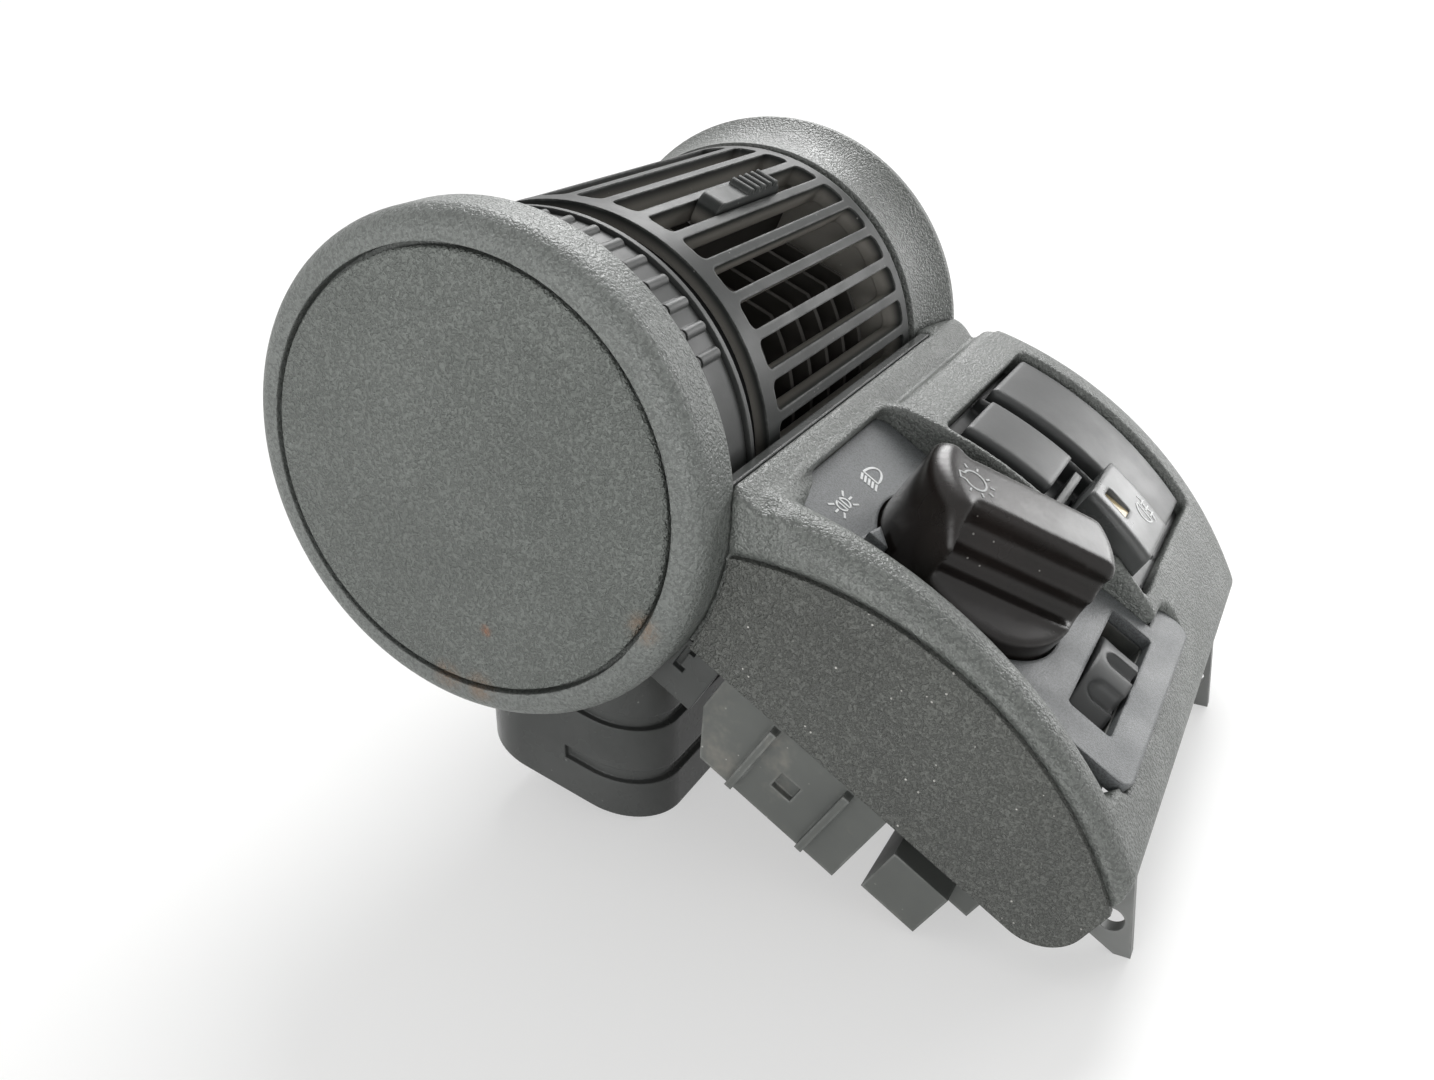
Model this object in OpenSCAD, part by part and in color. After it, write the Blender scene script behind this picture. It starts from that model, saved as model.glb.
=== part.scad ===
// Dashboard end pod of a vehicle: a barrel air vent with a flow wheel, and below it a
// switch panel with a rotary lamp switch, a dimmer wheel, a rear fog button and blanks.
// The pod is drawn about the barrel axis (X), with the panel facing +Z and running down -Y,
// and is then leaned over so that it stands on its duct mouth and its two fixing tabs.

/* [Vent barrel] */
// Diameter of the grille drum over its bars
drum_d = 78.8; // [76:0.2:82]
// Length of the grille drum
drum_l = 71.5; // [66:0.5:78]
// Depth of the grille bars
bar_depth = 4.5; // [3:0.5:6]
// Angle from one grille slot to the next
slot_pitch = 10.5; // [9.5:0.1:11]
// Number of grille slots
slot_count = 13; // [9:2:13]
// Width of a grille bar, as an angle
bar_angle = 2.8; // [2:0.1:4]
// How far the middle slot leans back from the panel's facing direction
drum_back = 8.5; // [0:0.5:12]
// Height of the end rims over the drum surface
rim_lip = 4.2; // [4:0.1:6]
// Width of the near rim along the barrel
rim_w = 10.5; // [9:0.5:13]
// Radial width of the near rim round the end cap
rim_band = 5.6; // [4:0.2:8]
// Width of the flow wheel
wheel_w = 14.6; // [12:0.2:18]
// Number of finger ribs that would fill a full turn of the flow wheel
wheel_ribs = 51; // [36:1:60]
// Height of the finger ribs
rib_h = 0.8; // [0.4:0.1:1.2]
// Width of the foam seal between the flow wheel and the drum
seal_w = 5.4; // [4:0.2:8]
// Width of the flared far flange along the barrel
flange_w = 19.5; // [16:0.5:24]
// Diameter of the two barrel axles
axle_d = 10; // [8:0.5:12]

/* [Vanes] */
// Number of swivel vanes
vane_count = 6; // [4:1:6]
// Distance between neighbouring vanes
vane_pitch = 8.6; // [7.6:0.1:9]
// Thickness of a vane
vane_t = 1.4; // [1:0.1:2]
// Distance from a vane's pivot to its crank peg
vane_crank = 18; // [16:0.5:19]
// Length of the finger grip
grip_l = 26; // [18:1:30]

/* [Duct] */
// Length of the duct along the barrel
duct_l = 94; // [86:1:96]
// Depth of the duct, front to back
duct_t = 38.5; // [34:0.5:42]
// Corner radius of the duct
duct_corner = 12; // [8:0.5:14]
// Wall of the duct and of the cradle behind the drum
duct_wall = 2; // [1.6:0.1:2.4]
// Angle between the duct and the panel's facing direction
duct_lean = 33.1; // [28:0.1:36]
// Slope of the duct mouth
mouth_slope = 16; // [10:1:20]

/* [Switch panel] */
// Distance from the end cap's face to the side cheek
cheek_x = 8.4; // [7:0.1:9.5]
// Width of the panel from the cheek to its far side
panel_w = 122.6; // [118:0.2:130]
// Length of the panel from the saddle to its bottom side
panel_l = 79; // [76:0.5:84]
// Radius of the panel's crowned face
crown_r = 90; // [84:1:100]
// Height of the crown's top line over the barrel axis
crown_top = 33; // [31:0.2:35]
// Distance of the crown's top line below the saddle
crown_mid = 30; // [26:0.5:34]
// Edge radius of the crowned face
crown_edge = 5; // [3.5:0.5:6]
// Wall of the panel moulding
panel_wall = 2.5; // [2:0.1:3]
// Height of the panel's back edge below the barrel axis
back_drop = 1.4; // [0:0.2:4]
// Radius of the saddle bar between drum and panel
saddle_r = 6.5; // [5.5:0.1:7.5]
// Radius of the side cheeks' lower back corner
side_corner = 8; // [6:0.5:10]
// Thickness of the two fixing tabs
tab_t = 2.5; // [2:0.1:3]
// Reach of the fixing tabs below the panel's bottom side
tab_l = 9.16; // [8:0.02:12]
// Thickness of the half-moon side cover
cover_t = 1.6; // [1.2:0.1:2]
// Width of the groove round the side cover
cover_gap = 0.8; // [0.5:0.1:1.2]

/* [Lamp switch] */
// Height of the switch fascia over the barrel axis
fascia_z = 24.6; // [23.5:0.1:25.5]
// Thickness of the fascia
fascia_t = 2.6; // [2:0.1:3.2]
// Distance from the panel's near side to the fascia
fascia_in = 12.6; // [11:0.2:14]
// Width of the fascia beside the knob
fascia_w = 44; // [42:0.5:46]
// Extra width of the fascia beside the dimmer
fascia_step = 4.8; // [4:0.1:5]
// Extra width of the fascia below the button pocket
fascia_toe = 14; // [10:0.5:16]
// Diameter of the knob's skirt
knob_d = 36.6; // [34:0.2:38]
// Height of the knob over the fascia
knob_h = 16.8; // [14:0.2:19]
// Width of the knob's grip bar at the top
knob_bar = 12; // [10:0.5:14]
// Angle of the knob in the photographed position
knob_turn = 30; // [20:1:40]
// Distance of the knob's axis below the saddle
knob_down = 31; // [29:0.5:33]
// Diameter of the dimmer wheel
dimmer_d = 34; // [30:0.5:36]
// Length of the dimmer's window
window_l = 36; // [32:0.5:38]
// Width of the dimmer wheel
dimmer_w = 7.4; // [6:0.1:8.4]
// Number of finger scallops round the dimmer wheel
dimmer_scallops = 13; // [10:1:18]
// How far the dimmer wheel stands out of the fascia
dimmer_proud = 1.6; // [1:0.1:2.4]
// Distance of the dimmer wheel above the fascia's lower edge
dimmer_up = 10.6; // [10:0.2:12]
// Depth of the lamp switch body behind the fascia
switch_depth = 41; // [36:0.5:42]

/* [Push buttons] */
// Width of the button pocket
pocket_w = 54; // [50:0.5:57]
// Length of the button pocket
pocket_l = 48; // [44:0.5:50]
// Distance of the pocket below the saddle
pocket_down = 10.8; // [9.5:0.2:12]
// Width of the short blank and of the fog button
button_w = 18; // [16:0.2:20]
// Length of the fog button
fog_l = 16; // [14:0.2:18]
// How far the fog button stands over the crowned face
fog_proud = 4.2; // [2:0.2:6]
// Press travel of the fog button
fog_travel = 2.5; // [1.5:0.1:3.5]

/* [Fits] */
// Radial clearance of a turning axle
run_fit = 0.05; // [0.03:0.01:0.08]
// Gap between pieces that move past each other
gap = 0.4; // [0.3:0.05:0.5]
// Gap round pieces that are clipped in place
clip_fit = 0.15; // [0.1:0.05:0.25]

/* [Hidden] */
$fn = 96;
big = 400;
press_fit = 0.02;

// Barrel radii
drum_r = drum_d / 2;
drum_in = drum_r - bar_depth;
axle_r = axle_d / 2;
near_boss = 4;
far_boss = 8;
shutter_t = 1.1;
shutter_in = drum_r + gap;
shutter_r = shutter_in + shutter_t;
cradle_in = shutter_r + gap - 0.05;
cradle_r = cradle_in + duct_wall;
rim_r = max(drum_r + rim_lip, cradle_r + 0.2);
cap_r = rim_r - rim_band;

// Barrel stations along X
wall_t = 2.5;
cap_t = 2.6;
cap_groove = 0.5;
wheel_x = rim_w + gap;
partition_t = 1.2;
partition_x = wheel_x + wheel_w + gap;
seal_x = partition_x + partition_t;
drum_x = seal_x + seal_w + gap;
drum_end = drum_x + drum_l;
plate_t = 2.5;
arm_t = 1.6;
arm_x = drum_end + gap;
far_wall_x = arm_x + arm_t + gap;
flange_end = far_wall_x + flange_w;
vane_mid = drum_x + drum_l / 2;

// Panel stations, measured down the panel (v) and out of it (w)
saddle_angle = 52.1;
cradle_to = 276;
saddle_v = cradle_in * sin(saddle_angle) + 4.3;
saddle_w = crown_top - 12.5;
top_v = saddle_v + 3.5;
panel_v = top_v + panel_l;
crown_v = top_v + crown_mid;
crown_axis = crown_top - crown_r;
land_v = top_v + 3;
panel_x = cheek_x + panel_w;
near_plate = 4;
side_step = 0.25;
tab_drop = 0.5;
fascia_x = cheek_x + fascia_in;
fascia_end_v = panel_v - 8.4;
seat_w = fascia_z - fascia_t;
knob_x = fascia_x + 20.2;
knob_v = top_v + knob_down;
knob_r = knob_d / 2;
dimmer_x = fascia_x + 26.7;
dimmer_v = fascia_end_v - dimmer_up;
step_v = dimmer_v - 9.5;
toe_v = fascia_end_v - 7.8;
well_wall = 2;
pocket_x = fascia_x + fascia_w + well_wall;
pocket_v = top_v + pocket_down;
button_x = pocket_x + 5.2;
cell_gap = 6;
long_x = button_x + button_w + cell_gap;
short_v = pocket_v + 3;
fog_v = pocket_v + pocket_l - 4 - fog_l;
short_l = fog_v - short_v - 6;

// Standing pose
lean = duct_lean;
axis_h = (panel_v + tab_l) * sin(lean) + tab_drop * cos(lean);
corner_w = crown_w(panel_v);
low_y = -panel_v * cos(lean) - corner_w * sin(lean);
mid = [panel_x / 2, (rim_r + low_y) / 2];

charcoal = [0.16, 0.16, 0.17];
black = [0.07, 0.07, 0.075];
grey = [0.33, 0.35, 0.37];
satin = [0.2, 0.2, 0.21];
steel = [0.62, 0.63, 0.65];
copper = [0.66, 0.4, 0.22];
amber = [0.8, 0.66, 0.4];

// Height of the crowned face at a distance v down the panel
function crown_w(v) = crown_axis + sqrt(crown_r * crown_r - (v - crown_v) * (v - crown_v));

// Leans the pod over and sets it on the table, centred over the origin
module stand() {
    translate([-mid.x, -mid.y, axis_h]) rotate([lean, 0, 0]) children();
}

// Extrudes a side outline, drawn as (v, w), along the barrel
module across(x0, x1) {
    translate([x0, 0, 0]) rotate([90, 0, 90]) linear_extrude(x1 - x0) mirror([1, 0]) children();
}

// Extrudes a plan outline, drawn as (x, v), out of the panel
module out_of_panel(w0, w1) {
    translate([0, 0, w0]) linear_extrude(w1 - w0) mirror([0, 1]) children();
}

// Turns a section, drawn as (radius, x), about the barrel axis between two angles,
// counted from the panel's facing direction towards the panel
module barrel_turn(from = 0, to = 360) {
    rotate([from - 180, 0, 0]) rotate([0, 90, 0]) rotate_extrude(angle = to - from) children();
}

// Turns a section about the crown's own axis
module crown_turn(from = -30, to = 50) {
    translate([0, -crown_v, crown_axis]) barrel_turn(from, to) children();
}

// A shaft along the barrel
module x_rod(x0, x1, r) {
    translate([x0, 0, 0]) rotate([0, 90, 0]) cylinder(h = x1 - x0, r = r);
}

// A rectangle with round corners
module rounded(x0, x1, y0, y1, r) {
    translate([x0 + r, y0]) square([x1 - x0 - 2 * r, y1 - y0]);
    translate([x0, y0 + r]) square([x1 - x0, y1 - y0 - 2 * r]);
    for (x = [x0 + r, x1 - r], y = [y0 + r, y1 - r]) translate([x, y]) circle(r);
}

// A rectangle between two corners
module span(x0, x1, y0, y1) {
    translate([x0, y0]) square([x1 - x0, y1 - y0]);
}

// A box between two corners, in x, v and w
module panel_box(x0, x1, v0, v1, w0, w1) {
    out_of_panel(w0, w1) span(x0, x1, v0, v1);
}

// A block whose face follows the crown, with round edges along its two long sides
module crown_block(x0, x1, v0, v1, w0, rise, edge) {
    intersection() {
        crown_turn() rounded(crown_r - 40, crown_r + rise, x0, x1, edge);
        panel_box(x0, x1, v0, v1, w0, crown_top + rise + 1);
    }
}

// Outline of the well that holds the fascia, grown by a margin
module fascia_outline(grow) {
    corner = 3;
    right = fascia_x + fascia_w;
    low = fascia_end_v + grow;
    rounded(fascia_x - grow, right + grow, top_v - grow, low, corner);
    rounded(fascia_x - grow, right + fascia_step + grow, step_v - grow, low, corner);
    rounded(fascia_x - grow, right + fascia_toe + grow, toe_v - grow, low, corner);
}

// Outline of the button pocket, grown by a margin and kept clear of the fascia's wall
module pocket_outline(grow) {
    difference() {
        rounded(pocket_x - grow, pocket_x + pocket_w + grow, pocket_v - grow,
                pocket_v + pocket_l + grow, 2 + max(grow, 0));
        fascia_outline(well_wall - grow);
    }
}

// Half-moon outline of the side cover, grown by a margin
module cover_outline(grow) {
    arc_r = 67.3;
    arc_c = [crown_v + 7.3, crown_top - 4.9 - arc_r];
    difference() {
        intersection() {
            translate(arc_c) circle(arc_r + grow, $fn = 180);
            cornered(0);
        }
        circle(rim_r + 1 - grow);
    }
}

// Side of the panel from a distance v to its bottom, with the round lower back corner
module cornered(v) {
    span(v, panel_v - side_corner, -back_drop, crown_top);
    span(v, panel_v, side_corner - back_drop, crown_top);
    translate([panel_v - side_corner, side_corner - back_drop]) circle(side_corner);
}

// Side outline of the panel below its crown
module side_outline() {
    intersection() {
        translate([crown_v, crown_axis]) circle(crown_r - crown_edge + 0.2, $fn = 180);
        cornered(28);
    }
}

// Section of the crowned shell, drawn as (radius, x), solid beside the fascia well
module crown_section() {
    inner_edge = crown_edge - panel_wall;
    difference() {
        rounded(crown_r - 30, crown_r, cheek_x, panel_x, crown_edge);
        rounded(crown_r - 40, crown_r - panel_wall, fascia_x - well_wall / 2,
                panel_x - panel_wall, inner_edge);
        span(0, crown_r - 2 * crown_edge, 0, big);
    }
}

// Section cut away inside the near bead, which rounds it off towards the fascia
module bead_cut() {
    crest = cheek_x + crown_edge + 0.3;
    difference() {
        span(crown_r - crown_edge, crown_r + 20, crest, fascia_x + 1);
        translate([crown_r - crown_edge, crest]) circle(crown_edge);
    }
}

// Section of the near rim, drawn as (radius, x)
module rim_section() {
    round_r = rim_band * 0.72;
    difference() {
        rounded(cap_r - 4, rim_r, 0, rim_w + 4, round_r);
        span(0, big, rim_w, big);
        span(0, cap_r + 0.3, -1, cap_t);
        span(0, cap_r - 2, -1, rim_w - wall_t);
    }
}

// Outside of the far flange, drawn as (radius, x): a flared collar with a round lip
module flange_outside(grow) {
    lip = 4;
    flare = 30;
    foot = drum_r + 0.4;
    difference() {
        union() {
            span(0, rim_r - lip, far_wall_x - grow, flange_end + grow);
            span(0, rim_r + grow, far_wall_x - grow, flange_end - lip);
            translate([rim_r - lip, flange_end - lip]) circle(lip + grow);
        }
        translate([foot + flare, far_wall_x]) circle(flare - grow);
    }
}

// Saddle bar with a rounded near end, and the web that carries it
module saddle() {
    x0 = cheek_x + 0.3;
    x1 = flange_end - 4;
    translate([0, -saddle_v, saddle_w]) rotate([0, 90, 0]) rotate_extrude() difference() {
        rounded(-saddle_r, saddle_r, x0, x1 + saddle_r, 3);
        span(-big, 0, -big, big);
        span(-big, big, x1, big);
    }
    across(cheek_x + 0.8, x1 - 0.5)
        span(saddle_v - 4.4, saddle_v + 3.6, saddle_w - 12, saddle_w);
}

// Wall round the fascia well and the button pocket
module well_walls() {
    intersection() {
        out_of_panel(seat_w, crown_top) {
            fascia_outline(well_wall);
            pocket_outline(well_wall);
        }
        crown_turn() span(crown_r - 40, crown_r - 0.4, 0, big);
    }
}

// Angle about the crown's axis of a distance v down the panel
function crown_angle(v) = asin((v - crown_v) / crown_r);

boss_r = axle_r + 3.5;

// Near rim with its end wall and axle boss
module near_rim() {
    color(charcoal) stand() difference() {
        union() {
            barrel_turn() rim_section();
            barrel_turn() span(0, cap_r, rim_w - wall_t, rim_w);
            x_rod(rim_w - wall_t - near_boss, rim_w, boss_r);
        }
        x_rod(-1, rim_w + 1, axle_r);
    }
}

// Flared far flange with its end wall, axle boss and screw lugs
module far_flange() {
    color(charcoal) stand() difference() {
        union() {
            barrel_turn() difference() {
                flange_outside(0);
                span(-1, drum_r - 3, far_wall_x + wall_t, big);
            }
            x_rod(far_wall_x + 0.5, far_wall_x + far_boss, boss_r);
            lugs(lug_far[0], lug_far[1], cap_r - 2);
        }
        x_rod(far_wall_x - 1, far_wall_x + far_boss + 1, axle_r);
        lug_holes(lug_far[0] - 1, lug_far[1] + 1, screw_r);
    }
}

// Saddle, crowned face, cheeks and wells, cut free of the barrel's ends and of the cradle
module bezel() {
    bead_to = crown_angle(fascia_end_v - 2);
    color(charcoal) stand() difference() {
        union() {
            saddle();
            crown_turn(crown_angle(land_v), crown_angle(panel_v) + 3) crown_section();
            across(cheek_x + side_step, cheek_x + near_plate) side_outline();
            across(panel_x - panel_wall, panel_x - side_step) side_outline();
            bottom_plate();
            land_front();
            well_walls();
        }
        x_rod(-1, rim_w, rim_r + press_fit);
        x_rod(rim_w - 1, far_wall_x + gap, cradle_r + clip_fit);
        barrel_turn() flange_outside(press_fit);
        crown_turn(crown_angle(land_v) - 3, bead_to) bead_cut();
        panel_box(-big, big, panel_v, panel_v + big, corner_w - 12, crown_top + 9);
        out_of_panel(seat_w - 3, crown_top + 9) {
            fascia_outline(0);
            pocket_outline(0);
        }
        across(cheek_x - 1, cheek_x + cover_t) cover_outline(cover_gap);
    }
}

// Plate across the panel's bottom side, let into the end of the crown
module bottom_plate() {
    inset = crown_edge * 0.3;
    across(cheek_x + inset, panel_x - inset) intersection() {
        translate([crown_v, crown_axis]) circle(crown_r - panel_wall / 2, $fn = 180);
        span(panel_v - panel_wall, panel_v, side_corner - back_drop - 1.4, crown_top);
    }
}

// Land below the saddle, with a rolled front edge beside the fascia well
module land_front() {
    roll = 2.4;
    w = crown_w(land_v) - roll + 0.2;
    across(fascia_x + fascia_w / 2, panel_x - crown_edge - 1) {
        translate([land_v + 0.6, w]) circle(roll);
        span(land_v - roll + 0.6, land_v + 1.4, saddle_w - 6, w);
    }
    across(cheek_x + 1.2, panel_x - crown_edge - 1.5)
        span(saddle_v, land_v + 0.4, saddle_w - 6, saddle_w + 3.2);
    across(cheek_x + 0.6, cheek_x + crown_edge + 1.6) {
        translate([land_v + 0.6, w]) circle(roll - 0.3);
        span(saddle_v, land_v + 1.4, saddle_w - 6, w);
    }
}

tab_xs = [cheek_x + 12.2, panel_x - 24];
tab_hole = [panel_v + 4.6, 4.4];
tab_hole_r = 2.2;

// Side outline of a fixing tab, whose tip lies on the table
module tab_outline() {
    tip = [for (w = [1, -tab_drop]) [(axis_h + w * cos(lean)) / sin(lean), w]];
    polygon([[panel_v, -tab_drop], [panel_v, 13], [panel_v + 2.2, 13], tip[0], tip[1]]);
}

// Two angled tabs on the panel's bottom side, each with a screw hole
module fixing_tabs() {
    foot = 9;
    color(grey) stand() for (x = tab_xs) difference() {
        union() {
            across(x, x + tab_t) tab_outline();
            panel_box(x + 0.5, x + foot, panel_v, panel_v + 1.6, 6, 12.4);
        }
        translate([0, -tab_hole[0], tab_hole[1]]) x_rod(x - 1, x + tab_t + 1, tab_hole_r);
    }
}

lug_angles = [105, 196];
lug_r = cradle_r + 3.4;
lug_d = 8;
screw_r = 1.6;
lug_step = 0.2;
lug_far = [far_wall_x - lug_step, far_wall_x + wall_t + lug_step];
lug_l = 6;
screw_bite = screw_r - 0.3;

// Screw lugs that join the cradle to the far flange, standing on a neck from a radius r0
module lugs(x0, x1, r0) {
    neck = lug_d * 0.8;
    across(x0, x1) for (a = lug_angles) rotate(-a) {
        translate([0, lug_r]) circle(lug_d / 2);
        translate([-neck / 2, r0]) square([neck, lug_r - r0]);
    }
}

module lug_holes(x0, x1, r) {
    for (a = lug_angles) rotate([a, 0, 0]) translate([0, 0, lug_r]) x_rod(x0, x1, r);
}

module end_cap() {
    color(charcoal) stand() barrel_turn() {
        span(0, cap_r - 2, 0, cap_t);
        rounded(cap_r - 4, cap_r - cap_groove, 0, cap_t, 0.6);
    }
}

module side_cover() {
    color(charcoal) stand() across(cheek_x, cheek_x + cover_t) cover_outline(0);
}

// Turns children into the duct's own upright frame
module upright() {
    rotate([-lean, 0, 0]) children();
}

duct_x = rim_w + 3.5;
duct_y = [-25, duct_t - 25];

// Plan of the duct, shrunk by a margin
module duct_plan(shrink) {
    rounded(duct_x + shrink, duct_x + duct_l - shrink, duct_y[0] + shrink, duct_y[1] - shrink,
            duct_corner - shrink);
}

// Everything below the sloped mouth, moved up by a distance
module below_mouth(up) {
    translate([-1, duct_y[0], -axis_h]) rotate([mouth_slope, 0, 0]) translate([0, -60, up - 60])
        cube([big, 160, 60]);
}

// Clip groove round the panel side of the duct, at a height over the mouth
module duct_groove(up) {
    depth = 1.1;
    intersection() {
        difference() {
            below_mouth(up + 2.6);
            below_mouth(up);
            translate([0, 0, -big]) linear_extrude(2 * big) duct_plan(depth);
        }
        translate([0, -60 + duct_y[0] + duct_t * 0.45, -big]) cube([big, 60, 2 * big]);
    }
}

module duct_housing() {
    inner_x = [drum_x + plate_t, drum_end - plate_t];
    color(black) stand() difference() {
        union() {
            barrel_turn(saddle_angle + 0.4, cradle_to)
                span(cradle_in - 1, cradle_r, rim_w, far_wall_x - 2 * lug_step);
            upright() translate([0, 0, -axis_h - 5]) linear_extrude(axis_h - 15) duct_plan(0);
            lugs(lug_far[0] - lug_l, lug_far[0], cradle_in - 2);
            clip_plate();
        }
        x_rod(rim_w - 1, duct_x + duct_l + 1, cradle_in);
        clip_window();
        upright() {
            difference() {
                translate([0, 0, -big]) linear_extrude(big) duct_plan(duct_wall + 0.5);
                barrel_upright_shell(inner_x);
            }
            below_mouth(0);
            duct_groove(7);
            duct_groove(18);
        }
        lug_holes(lug_far[0] - lug_l - 1, lug_far[0] + 1, screw_bite);
    }
}

clip_x = rim_w + gap;
clip_w = [-13.5, -back_drop - 0.6];

// Flat clip plate beside the near rim, below the side cheek
module clip_plate() {
    panel_box(clip_x, clip_x + 2, cradle_r - 2.6, cradle_r + 7.6, clip_w[0], clip_w[1]);
}

// Bracket-shaped window of the clip, sunk into the plate
module clip_window() {
    depth = 1.2;
    bar = 1.1;
    v = cradle_r + 0.6;
    w = [clip_w[1] - 6.4, clip_w[1] - 1.2];
    panel_box(clip_x - 1, clip_x + depth, v, v + bar, w[0], w[1]);
    for (e = [w[0], w[1] - bar]) panel_box(clip_x - 1, clip_x + depth, v, v + 2.2, e, e + bar);
}

// The parts of the cradle that stay closed over the duct, beside the drum's open length
module barrel_upright_shell(inner_x) {
    difference() {
        x_rod(0, big, cradle_r + 0.5);
        x_rod(inner_x[0], inner_x[1], cradle_r + 2);
    }
}

module near_axle() {
    color(steel) stand() x_rod(rim_w - wall_t - near_boss, drum_x + plate_t + 1, axle_r - press_fit);
}

module far_axle() {
    color(steel) stand() x_rod(drum_end - plate_t - 1, far_wall_x + far_boss, axle_r - press_fit);
}

module partition() {
    color(satin) stand() difference() {
        x_rod(partition_x, seal_x, drum_r);
        x_rod(partition_x - 1, seal_x + 1, axle_r);
    }
}

module drum_seal() {
    color(black) stand() difference() {
        x_rod(seal_x, seal_x + seal_w, drum_r - 2.4);
        x_rod(seal_x - 1, seal_x + seal_w + 1, drum_r - 10);
    }
}

module housing_screws() {
    head = [screw_r + 1.2, 2];
    color(steel) stand() {
        lug_holes(lug_far[0] - lug_l, lug_far[1], screw_bite - press_fit);
        lug_holes(lug_far[1], lug_far[1] + head[1], head[0]);
    }
}

// Turns children into the drum's frame: x along the barrel, z out through the middle slot
module drum_frame() {
    stand() rotate([-drum_back, 0, 0]) children();
}

drum_front = 82;
drum_rear = 104;
pivot_u = 8;
pin_r = 1.2;
pin_t = sqrt(drum_in * drum_in - pivot_u * pivot_u) + 2.2;
vane_front = pivot_u + vane_crank + 2;
vane_round = drum_in - 1;
slot_in = 4.5;
slot_out = 3;
vane_xs = [for (i = [0:vane_count - 1]) vane_mid + (i - (vane_count - 1) / 2) * vane_pitch];

// One slot, cut radially, with round corners
module grille_slot() {
    w = 2 * drum_r * sin((slot_pitch - bar_angle) / 2);
    translate([0, 0, drum_in - 3]) linear_extrude(bar_depth + 6)
        rounded(drum_x + slot_in, drum_end - slot_out, -w / 2, w / 2, 1.6);
}

module drum_grille() {
    color(black) drum_frame() difference() {
        union() {
            barrel_turn(-drum_rear, drum_front) span(drum_in, drum_r, drum_x, drum_end);
            x_rod(drum_end - plate_t, drum_end, drum_in + 1);
        }
        for (i = [0:slot_count - 1])
            rotate([(i - (slot_count - 1) / 2) * slot_pitch, 0, 0]) grille_slot();
        for (x = vane_xs) translate([x, 0, pivot_u]) rotate([90, 0, 0])
            cylinder(h = 2 * pin_t + 0.2, r = pin_r + run_fit, center = true);
        x_rod(drum_end - 9, drum_end + 1, axle_r + run_fit);
    }
}

module drum_end_plate() {
    color(black) drum_frame() difference() {
        x_rod(drum_x, drum_x + plate_t, drum_in - press_fit);
        x_rod(drum_x - 1, drum_x + 9, axle_r + run_fit);
    }
}

peg_r = 0.9;
notch = 6.4;

// One swivel vane: a thin plate with two pivot pins and a crank peg across its notch
module vane(i) {
    color(black) drum_frame() translate([vane_xs[i], 0, 0]) {
        rotate([90, 0, 90]) linear_extrude(vane_t, center = true) difference() {
            intersection() {
                circle(vane_round);
                span(-vane_round, vane_round, pivot_u - 14, vane_front);
            }
            span(-notch / 2, notch / 2, pivot_u + vane_crank - 5, big);
        }
        translate([0, 0, pivot_u]) rotate([90, 0, 0]) cylinder(h = 2 * pin_t, r = pin_r, center = true);
        translate([0, 0, pivot_u + vane_crank]) rotate([90, 0, 0])
            cylinder(h = notch + 1, r = peg_r, center = true);
    }
}

module vane_1() { vane(0); }
module vane_2() { vane(1); }
module vane_3() { vane(2); }
module vane_4() { vane(3); }
module vane_5() { vane(4); }
module vane_6() { vane(5); }

link_t = 3;
link_top = drum_in - 1.6;

module vane_link() {
    peg_u = pivot_u + vane_crank;
    hook = 3;
    play = 0.35;
    color(black) drum_frame() rotate([90, 0, 0]) linear_extrude(link_t, center = true) difference() {
        span(vane_xs[0] - hook, vane_xs[vane_count - 1] + hook, peg_u - 3.2, link_top - 0.4);
        for (x = vane_xs) {
            translate([x, peg_u]) circle(peg_r + play);
            span(x - peg_r - play, x + peg_r + play, peg_u - 4, peg_u);
        }
    }
}

// Ridged finger grip that stands through the middle slot
module vane_grip() {
    ridge = 1.1;
    top = drum_r + 1.6;
    ridges = floor(grip_l * 0.55 / (2.4 * ridge));
    w = 2 * drum_r * sin((slot_pitch - bar_angle) / 2) - 2 * gap;
    color(black) drum_frame() translate([vane_mid, 0, 0]) {
        translate([-grip_l * 0.3, -link_t / 2, link_top - 0.4]) cube([grip_l * 0.6, link_t, 3]);
        rotate([90, 0, 0]) linear_extrude(w, center = true) {
            rounded(-grip_l / 2, grip_l / 2, link_top + 1, top, 2);
            for (i = [0:ridges - 1])
                translate([grip_l / 2 - 3 - i * 2.4 * ridge, top]) circle(ridge, $fn = 24);
        }
    }
}

rib_from = -86;
rib_to = 30;
shutter_open = 200.3;
shutter_half = 28;

module flow_wheel() {
    wheel_end = wheel_x + wheel_w;
    wheel_mid = wheel_x + wheel_w / 2;
    rib_r = 1.1;
    base_r = drum_r - rib_h;
    pitch = 360 / wheel_ribs;
    color(satin) stand() difference() {
        union() {
            rotate([-90, 0, 0]) x_rod(wheel_x, wheel_end, base_r);
            for (a = [rib_from:pitch:rib_to]) rotate([a, 0, 0])
                translate([0, 0, drum_r - rib_r]) x_rod(wheel_x + 0.6, wheel_end - 0.8, rib_r);
            barrel_turn(shutter_open - shutter_half, shutter_open + shutter_half)
                span(drum_r - 2, shutter_r, wheel_end - 3, wheel_end);
        }
        barrel_turn() span(base_r - 0.5, drum_r + 2, wheel_mid - 0.3, wheel_mid + 0.3);
        barrel_turn() span(axle_r + 4, drum_r - 4.5, wheel_x + 2, wheel_end + 1);
        x_rod(0, big, axle_r + run_fit);
    }
}

module air_shutter() {
    color(black) stand()
        barrel_turn(shutter_open - shutter_half, shutter_open + shutter_half)
            span(shutter_in, shutter_r, wheel_x + wheel_w, arm_x + arm_t);
}

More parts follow.
